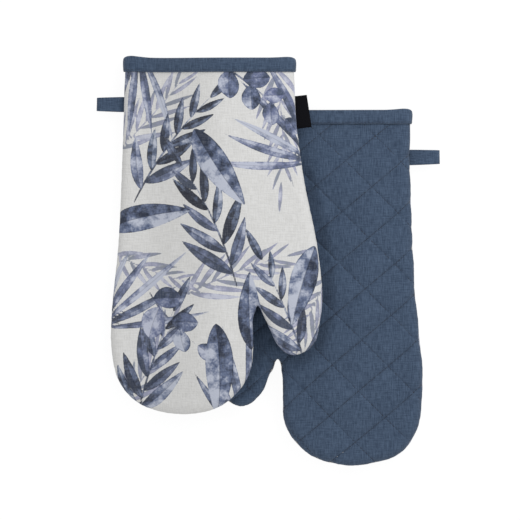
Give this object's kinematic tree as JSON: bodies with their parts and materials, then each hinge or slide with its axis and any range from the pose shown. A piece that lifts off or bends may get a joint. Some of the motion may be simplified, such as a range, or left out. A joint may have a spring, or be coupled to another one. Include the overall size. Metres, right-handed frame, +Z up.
{
  "type": "oven glove pair",
  "caption": "Pair of quilted thumbed oven gloves lying flat, one printed side up over the other with its quilted side up, with bound cuffs and side hanging loops.",
  "frame": {"origin": "middle of the pair's outline, on the surface that the pair lies on", "axes": "+Y from the fingertips to the cuffs, +X from the front glove to the rear glove, +Z up off the table"},
  "size_m": [0.3196, 0.3772, 0.0508],
  "materials": {
    "printed_cloth": "matt cotton-linen canvas, off-white, printed with blue-grey leaves",
    "chambray": "matt blue cotton chambray",
    "wadding": "soft needled cotton wadding",
    "lining": "plain woven cotton lining",
    "thread": "blue polyester sewing thread",
    "label_ribbon": "black woven satin ribbon, bare"
  },
  "bodies": {
    "rear_glove": {"rear_printed_panel": "printed_cloth", "rear_printed_wadding": "wadding", "rear_printed_lining": "lining", "rear_quilted_panel": "chambray", "rear_quilted_wadding": "wadding", "rear_quilted_lining": "lining", "rear_quilting_thread": "thread", "rear_seam_thread": "thread", "rear_cuff_binding": "chambray", "rear_binding_thread": "thread"},
    "front_glove": {"front_printed_panel": "printed_cloth", "front_printed_wadding": "wadding", "front_printed_lining": "lining", "front_quilted_panel": "chambray", "front_quilted_wadding": "wadding", "front_quilted_lining": "lining", "front_quilting_thread": "thread", "front_seam_thread": "thread", "front_cuff_binding": "chambray", "front_binding_thread": "thread"},
    "rear_loop": {"rear_hanging_loop": "chambray"},
    "front_loop": {"front_hanging_loop": "chambray"},
    "rear_label": {"rear_side_label": "label_ribbon"},
    "front_label": {"front_side_label": "label_ribbon"}
  },
  "joints": [
    {"name": "front_glove_lift", "type": "slide", "parent": "rear_glove", "child": "front_glove", "axis": [0, 0, 1], "range_m": [0, 0.12]},
    {"name": "rear_loop_swing", "type": "hinge", "parent": "rear_glove", "child": "rear_loop", "pos_m": [0.13415, 0.09844, 0.01115], "axis": [0.0263, -0.9997, 0], "range_deg": [-70, 70]},
    {"name": "front_loop_swing", "type": "hinge", "parent": "front_glove", "child": "front_loop", "pos_m": [-0.13415, 0.14564, 0.01115], "axis": [0.0263, 0.9997, 0], "range_deg": [-70, 70]},
    {"name": "rear_label_flap", "type": "hinge", "parent": "rear_glove", "child": "rear_label", "pos_m": [-0.0281, 0.09145, 0.01115], "axis": [0.0639, 0.998, 0], "range_deg": [-60, 60]},
    {"name": "front_label_flap", "type": "hinge", "parent": "front_glove", "child": "front_label", "pos_m": [0.0281, 0.13865, 0.03715], "axis": [0.0639, -0.998, 0], "range_deg": [-60, 60]}
  ]
}
